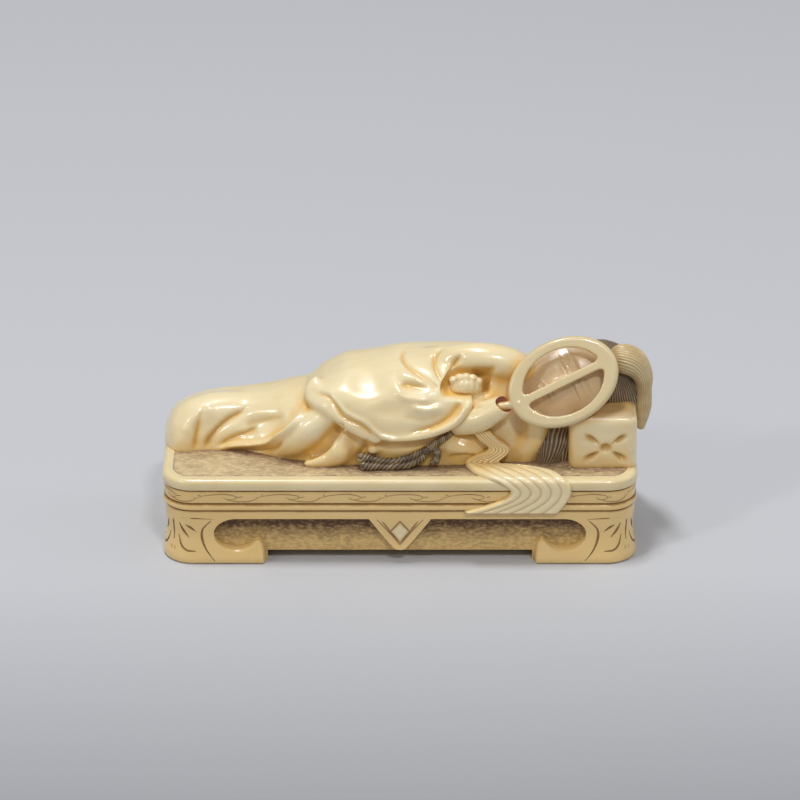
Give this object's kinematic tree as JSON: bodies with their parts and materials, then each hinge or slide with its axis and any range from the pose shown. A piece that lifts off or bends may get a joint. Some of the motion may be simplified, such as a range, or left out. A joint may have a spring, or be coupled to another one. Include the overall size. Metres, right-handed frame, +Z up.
{
  "type": "carved ivory netsuke",
  "caption": "Carved ivory toggle of a robed figure asleep on its side on a low couch, a round fan over the face and the head on a pillow.",
  "frame": {"origin": "middle of the carving's box, on the ground under the couch's feet", "axes": "+X along the couch towards the pillow, -Y towards the couch's front, +Z up"},
  "size_m": [0.0582, 0.0206, 0.0264],
  "materials": {
    "ivory": "polished ivory, amber in the folds, brown stain in the engraved lines, dark stained hair and cord"
  },
  "bodies": {
    "root": {"netsuke": "ivory"}
  },
  "joints": []
}
